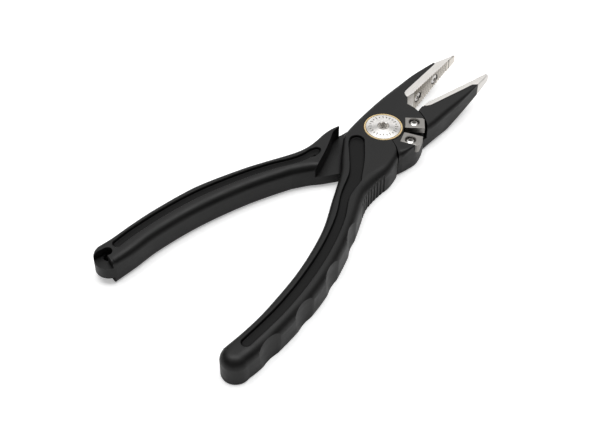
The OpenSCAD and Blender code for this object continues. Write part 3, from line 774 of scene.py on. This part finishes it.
# ------------------------------------------------------------------ materials
class Shader:
    """A material whose nodes are added and wired one call at a time. Sizes are in millimetres."""

    def __init__(self, name, **settings):
        self.mat = bpy.data.materials.new(name)
        self.mat.use_nodes = True
        self.tree = self.mat.node_tree
        self.skin = self.tree.nodes["Principled BSDF"]
        self.where = self.add("ShaderNodeTexCoord").outputs["Object"]
        self.set(**settings)

    def wire(self, socket, value):
        if isinstance(value, bpy.types.NodeSocket):
            self.tree.links.new(value, socket)
        else:
            socket.default_value = value

    def add(self, kind, inputs=(), **settings):
        node = self.tree.nodes.new(kind)
        for key, value in settings.items():
            setattr(node, key, value)
        for key, value in dict(inputs).items():
            self.wire(node.inputs[key], value)
        return node

    def set(self, **values):
        for key, value in values.items():
            self.wire(self.skin.inputs[key.replace("_", " ")], value)

    def noise(self, size, turn=0.0, detail=3.0, rough=0.5, where=None):
        """Noise whose features measure size = (x, y, z), along axes turned about Z."""
        grid = self.add("ShaderNodeMapping",
                        {"Vector": where or self.where, "Scale": [v * MM for v in size],
                         "Rotation": (0, 0, math.radians(turn))}, vector_type="TEXTURE")
        return self.add("ShaderNodeTexNoise", {"Vector": grid.outputs[0], "Scale": 1.0, "Detail": detail,
                                               "Roughness": rough}).outputs["Fac"]

    def turned_marks(self, size):
        """Noise that only changes with the distance from the Z axis and with height, like lathe marks."""
        xyz = self.add("ShaderNodeSeparateXYZ", {"Vector": self.where}).outputs
        flat = self.add("ShaderNodeCombineXYZ", {"X": xyz[0], "Y": xyz[1]}).outputs[0]
        radius = self.add("ShaderNodeVectorMath", {0: flat}, operation="LENGTH").outputs["Value"]
        around = self.add("ShaderNodeCombineXYZ", {"X": radius, "Z": xyz[2]}).outputs[0]
        return self.noise((size, size, size), where=around)

    def levels(self, value, start, end, low=0.0, high=1.0):
        return self.add("ShaderNodeMapRange", {"Value": value, "From Min": start, "From Max": end,
                                               "To Min": low, "To Max": high}).outputs[0]

    def math(self, operation, a, b):
        return self.add("ShaderNodeMath", {0: a, 1: b}, operation=operation, use_clamp=True).outputs[0]

    def mix(self, factor, a, b):
        node = self.add("ShaderNodeMix", {"Factor": factor}, data_type="RGBA")
        self.wire(node.inputs[6], a)
        self.wire(node.inputs[7], b)
        return node.outputs[2]

    def worn_and_lit_edges(self, radius, start=0.02, end=0.2):
        """About one on edges sharper than radius, broken up, and zero on open faces: rubbed edges together
        with a painted edge highlight.
        """
        rounded = self.add("ShaderNodeBevel", {"Radius": radius * MM}, samples=6).outputs[0]
        normal = self.add("ShaderNodeNewGeometry").outputs["Normal"]
        same = self.add("ShaderNodeVectorMath", {0: rounded, 1: normal}, operation="DOT_PRODUCT")
        edge = self.levels(same.outputs["Value"], 1 - start, 1 - end)
        return self.math("MULTIPLY", edge, self.levels(self.noise((1.2, 1.2, 1.2), detail=4), 0.35, 0.6))

    def crevice_shade(self, reach, shut=0.35, clear=0.85):
        """Painted shade: one in the open, falling towards zero in corners and gaps narrower than reach."""
        node = self.add("ShaderNodeAmbientOcclusion", {"Distance": reach * MM}, samples=8)
        return self.levels(node.outputs["AO"], shut, clear)

    def relief(self, *layers):
        """Stacks bumps given as (height, depth)."""
        normal = None
        for height, depth in layers:
            node = self.add("ShaderNodeBump", {"Height": height, "Strength": 1.0, "Distance": depth * MM})
            if normal is not None:
                self.wire(node.inputs["Normal"], normal)
            normal = node.outputs[0]
        self.set(Normal=normal)


def grey(value, warm=0.0):
    return (value * (1 + warm), value, value * (1 - 1.4 * warm), 1)


def black_anodised(name, tone=0.65, sheen=0.32):
    """Bead-blasted black aluminium: a fine grain, faint handling marks, slightly rubbed edges lightened
    further by a painted highlight, and painted shade that darkens corners and gaps and takes away their
    sheen.
    """
    m = Shader(name, Metallic=0.0, IOR=1.5)
    patch = m.noise((16, 16, 16), detail=4)
    grain = m.noise((0.28, 0.28, 0.28), detail=2)
    rubbed = m.noise((2.4, 7, 2.4), detail=5, rough=0.6)
    wear_and_glint = m.worn_and_lit_edges(0.35, 0.006, 0.12)
    # painted shade: corners and gaps turn near black and lose their sheen
    unshaded = m.crevice_shade(1.6)
    base = m.mix(m.levels(patch, 0.35, 0.65), grey(0.0065 * tone), grey(0.0095 * tone, 0.03))
    base = m.mix(m.levels(grain, 0.55, 0.8, 0, 0.5), base, grey(0.018 * tone))
    # rubbed edges plus a painted highlight lighten the edges
    base = m.mix(m.math("MULTIPLY", wear_and_glint, 0.4), base, grey(0.06))
    # painted shade in corners and gaps
    base = m.mix(unshaded, grey(0.0008), base)
    rough = m.levels(rubbed, 0.3, 0.7, 0.36, 0.46)
    m.set(Base_Color=base, Roughness=m.mix(wear_and_glint, rough, grey(0.3)),
          Specular_IOR_Level=m.levels(unshaded, 0, 1, 0.05, sheen))
    m.relief((grain, 0.012), (patch, 0.02))
    return m.mat


def brushed_steel(name, tone, turn, rough=(0.26, 0.4), warm=0.03, line=(0.07, 9, 0.07), crevice_shading=(0.7,)):
    """Bare steel ground or brushed along one direction, with edges lightened by rubbing and a painted
    highlight, and painted shade in corners and gaps.
    """
    m = Shader(name, Metallic=1.0)
    lines = m.noise(line, turn, detail=3, rough=0.7)
    cloud = m.noise((5, 5, 5), detail=4)
    wear_and_glint = m.worn_and_lit_edges(0.12, 0.03, 0.25)
    base = m.mix(m.levels(lines, 0.3, 0.7), grey(tone * 0.88, warm), grey(tone, warm))
    base = m.mix(m.levels(cloud, 0.4, 0.75, 0, 0.25), base, grey(tone * 0.7, warm * 1.5))
    # rubbed edges plus a painted highlight lighten the edges
    base = m.mix(m.math("MULTIPLY", wear_and_glint, 0.7), base, grey(min(tone * 1.2, 0.95), warm))
    # painted shade: corners and gaps narrower than the given reach turn dark
    base = m.mix(m.crevice_shade(*crevice_shading), grey(tone * 0.1), base)
    blend = m.math("MULTIPLY", lines, m.levels(cloud, 0.2, 0.8, 0.8, 1.2))
    m.set(Base_Color=base, Roughness=m.levels(blend, 0.3, 0.7, *rough))
    m.relief((lines, 0.002), (cloud, 0.01))
    return m.mat


def polished_steel(name, tone=0.75, rough=(0.1, 0.2)):
    """Bright fasteners with fine lathe marks, a few handling scratches, and edges lightened by rubbing and
    a painted highlight.
    """
    m = Shader(name, Metallic=1.0)
    marks = m.turned_marks(0.1)
    smudge = m.noise((1.6, 1.6, 1.6), detail=5)
    base = m.mix(m.levels(smudge, 0.4, 0.7), grey(tone, 0.015), grey(tone * 0.82, 0.03))
    base = m.mix(m.worn_and_lit_edges(0.06, 0.05, 0.3), base, grey(0.92, 0.01))
    m.set(Base_Color=base, Roughness=m.levels(smudge, 0.3, 0.7, *rough))
    m.relief((marks, 0.0015), (smudge, 0.004))
    return m.mat


def spun_steel(name):
    """The face-turned bolt head: highlights fan out from its centre; painted shade darkens its narrow
    corners and gaps.
    """
    m = Shader(name, Metallic=1.0, Anisotropic=0.85, Anisotropic_Rotation=0.25)
    marks = m.turned_marks(0.09)
    smudge = m.noise((1.4, 1.4, 1.4), detail=5)
    base = m.mix(m.levels(smudge, 0.35, 0.7), grey(0.86, 0.02), grey(0.8, 0.03))
    base = m.mix(m.levels(marks, 0.5, 0.8, 0, 0.3), base, grey(0.72, 0.02))
    base = m.mix(m.crevice_shade(0.25), grey(0.12, 0.05), base)
    m.set(Base_Color=base, Roughness=m.levels(smudge, 0.3, 0.7, 0.2, 0.26))
    m.set(Tangent=m.add("ShaderNodeTangent", direction_type="RADIAL", axis="Z").outputs[0])
    m.relief((marks, 0.001), (smudge, 0.001))
    return m.mat


def bearing_bronze(name):
    m = Shader(name, Metallic=1.0)
    marks = m.turned_marks(0.07)
    tarnish = m.noise((2.2, 2.2, 2.2), detail=4)
    base = m.mix(m.levels(tarnish, 0.35, 0.7), (1, 0.8, 0.46, 1), (0.92, 0.67, 0.36, 1))
    # rubbed edges plus a painted highlight lighten the edges
    base = m.mix(m.worn_and_lit_edges(0.08, 0.05, 0.3), base, (0.98, 0.86, 0.6, 1))
    m.set(Base_Color=base, Roughness=m.levels(tarnish, 0.3, 0.7, 0.2, 0.34))
    m.relief((marks, 0.002))
    return m.mat


def dress(obj, mat):
    obj.data.materials.clear()
    obj.data.materials.append(mat)
    return obj


black = black_anodised("black_anodised")
# a darker, duller copy of the black finish: painted shade for groove walls and floors
recess = black_anodised("black_recess_shade", 0.35, 0.16)
left_steel = brushed_steel("left_insert_steel", 0.86, OPEN_HALF, line=(0.09, 5, 0.09))
right_steel = brushed_steel("right_insert_steel", 0.86, -OPEN_HALF, line=(0.09, 5, 0.09))
# the grip face gets wider painted shade between its teeth
grip_steel = brushed_steel("grip_steel", 0.84, 0, (0.26, 0.36), 0.06, (0.3, 0.08, 0.3),
                           crevice_shading=(1.0, 0.62, 1.0))
# painted shade in the cutter's narrow gaps
carbide = brushed_steel("ground_carbide", 0.34, CUT_ANGLE, (0.3, 0.42), 0.04, (3, 0.06, 0.06), crevice_shading=(0.4,))
bright = polished_steel("polished_steel")
spun = spun_steel("face_turned_steel")
bronze = bearing_bronze("bearing_bronze")
spring_wire = brushed_steel("spring_wire", 0.42, 0, (0.22, 0.34), 0.02, (0.5, 0.5, 0.05))
washer_steel = brushed_steel("washer_steel", 0.6, 0, (0.25, 0.4))

UPPER_TURN = turn_z(OPEN_HALF)
LOWER_TURN = turn_z(-OPEN_HALF)


def settle(obj, body, mat, replaced, turn=None, outline=None, grip=None):
    """Gives a piece its pose, finish and material, and hangs it on its body."""
    dress(obj, mat)
    if outline:
        mark_recess(obj, outline)
    if grip:
        mark_grip(obj, grip)
    if turn is not None:
        place(obj, turn)
    finish_mesh(obj)
    place(obj, Matrix.Scale(MM, 4))
    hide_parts(*replaced)
    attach(obj, body)
    return obj


settle(upper_half(), "upper", black, ["upper_body"], UPPER_TURN, UPPER_GROOVE)
settle(lower_half(), "lower", black, ["lower_body"], LOWER_TURN, LOWER_GROOVE)
for half, word, side, turn, steel in (("upper", "left", 1, UPPER_TURN, left_steel),
                                      ("lower", "right", -1, LOWER_TURN, right_steel)):
    settle(jaw_insert(f"{word}_jaw_plate", side), half, steel, [f"{word}_jaw_insert"], turn,
           grip=grip_steel)
    settle(jaw_screw(f"{word}_jaw_front_socket_screw", FRONT_SCREW, side), half, bright,
           [f"{word}_jaw_front_screw"], turn)
    settle(jaw_screw(f"{word}_jaw_rear_socket_screw", REAR_SCREW, side), half, bright,
           [f"{word}_jaw_rear_screw"], turn)
settle(cutter("upper_cutter_ground", UPPER_CUT, 1), "upper", carbide, ["upper_cutter"], UPPER_TURN)
settle(cutter("lower_cutter_ground", LOWER_CUT, -1), "lower", carbide, ["lower_cutter"], LOWER_TURN)
settle(cutter_screw("upper_cutter_socket_screw", 1, UPPER_BORE_LOW), "upper", bright,
       ["upper_cutter_screw"], UPPER_TURN)
settle(cutter_screw("lower_cutter_socket_screw", -1, LOWER_BORE_LOW), "lower", bright,
       ["lower_cutter_screw"], LOWER_TURN)
settle(bearing_ring("upper_bearing_ring", False), "upper", bronze, ["upper_bush"])
settle(bearing_ring("lower_bearing_ring", True), "lower", bronze, ["lower_bush"])
settle(pivot_head(), "upper", spun, ["pivot_bolt"])
settle(pivot_nut(), "upper", bright, ["pivot_nut"])

spring = finish_mesh(return_spring())
spring.modifiers.clear()
place(spring, Matrix.Scale(MM, 4))
dress(spring, spring_wire)
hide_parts("opening_spring")
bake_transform(spring)

for name in ("tension_washer", "thrust_washer"):
    dress(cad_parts[name], washer_steel)


# ------------------------------------------------------------------ floor, light and camera
VIEW_AZIMUTH = math.radians(46.46)
# Brightness against height, in degrees from the back horizon over the top to the camera's horizon
PANELS = [(0, 0.08), (16, 0.7), (34, 1.2), (43, 0.55), (49, 0.5), (58, 1.5), (88, 1.8), (104, 0.9),
          (120, 0.2), (180, 0.1)]
PANEL_SCALE = 4.0
SOFTBOX = (0.8, 0.36)                             # metres
SOFTBOX_HEIGHT = 0.7
SOFTBOX_WATTS = 2.0
FLOOR_GLOW = 0.4
LENS = 72
LOOK_AT = (10.59, -56.33, TOP / 2)                # millimetres
VIEW_ELEVATION = math.radians(46.8)
VIEW_DISTANCE = 455.8


def stage_floor():
    """A large pale table top."""
    bm = bmesh.new()
    bmesh.ops.create_grid(bm, x_segments=1, y_segments=1, size=2)
    floor = new_object("floor", bm)
    floor.location.z = -0.05 * MM
    m = Shader("pale_table", Specular_IOR_Level=0.1)
    tone = m.noise((60, 60, 60), detail=2)
    seen = m.add("ShaderNodeLightPath").outputs["Is Camera Ray"]
    m.set(Base_Color=m.mix(tone, grey(0.9), grey(0.93)), Roughness=m.levels(tone, 0, 1, 0.7, 0.9),
          Emission_Color=grey(1.0), Emission_Strength=m.math("MULTIPLY", seen, FLOOR_GLOW))
    dress(floor, m.mat)


def studio_light():
    """Long light panels behind and above the object, told apart by their height over the back horizon."""
    world = bpy.data.worlds.new("studio")
    bpy.context.scene.world = world
    world.use_nodes = True
    tree = world.node_tree

    def node(kind, settings, *inputs):
        made = tree.nodes.new(kind)
        for key, value in settings.items():
            setattr(made, key, value)
        for socket, value in zip(made.inputs, inputs):
            if isinstance(value, bpy.types.NodeSocket):
                tree.links.new(value, socket)
            else:
                socket.default_value = value
        return made

    def along(direction):
        return node("ShaderNodeVectorMath", {"operation": "DOT_PRODUCT"}, where, direction).outputs["Value"]

    where = tree.nodes.new("ShaderNodeTexCoord").outputs["Generated"]
    away = (-math.sin(VIEW_AZIMUTH), math.cos(VIEW_AZIMUTH), 0)
    side = (math.cos(VIEW_AZIMUTH), math.sin(VIEW_AZIMUTH), 0)
    swing = node("ShaderNodeMath", {"operation": "ARCTAN2"}, along((0, 0, 1)), along(away)).outputs[0]
    turn = node("ShaderNodeMath", {"operation": "DIVIDE"}, swing, math.pi).outputs[0]
    ramp = node("ShaderNodeValToRGB", {}, turn)
    stops = ramp.color_ramp.elements
    for degrees, light in PANELS[1:-1]:
        stops.new(degrees / 180)
    for stop, (degrees, light) in zip(stops, PANELS):
        stop.position, stop.color = degrees / 180, grey(light / PANEL_SCALE)
    squared = node("ShaderNodeMath", {"operation": "MULTIPLY"}, along(side), along(side)).outputs[0]
    falloff = node("ShaderNodeMapRange", {"interpolation_type": "SMOOTHSTEP"}, squared, 0.12, 0.7,
                   PANEL_SCALE, PANEL_SCALE * 0.12).outputs[0]
    tree.links.new(ramp.outputs["Color"], tree.nodes["Background"].inputs["Color"])
    tree.links.new(falloff, tree.nodes["Background"].inputs["Strength"])
    lamp = bpy.data.lights.new("softbox", "AREA")
    lamp.shape = "RECTANGLE"
    lamp.size, lamp.size_y = SOFTBOX
    lamp.energy = SOFTBOX_WATTS
    obj = bpy.data.objects.new("softbox", lamp)
    obj.location = (0.01, -0.05, SOFTBOX_HEIGHT)
    obj.rotation_euler = (0, 0, VIEW_AZIMUTH)
    bpy.context.scene.collection.objects.link(obj)


def camera():
    cam = bpy.data.cameras.new("camera")
    cam.lens = LENS
    cam.sensor_width = 36
    obj = bpy.data.objects.new("camera", cam)
    bpy.context.scene.collection.objects.link(obj)
    flat = math.cos(VIEW_ELEVATION)
    back = Vector((math.sin(VIEW_AZIMUTH) * flat, -math.cos(VIEW_AZIMUTH) * flat, math.sin(VIEW_ELEVATION)))
    obj.location = Vector(LOOK_AT) * MM + back * VIEW_DISTANCE * MM
    obj.rotation_euler = back.to_track_quat("Z", "Y").to_euler()
    bpy.context.scene.camera = obj


stage_floor()
studio_light()
camera()
bpy.context.scene.view_settings.view_transform = "Standard"
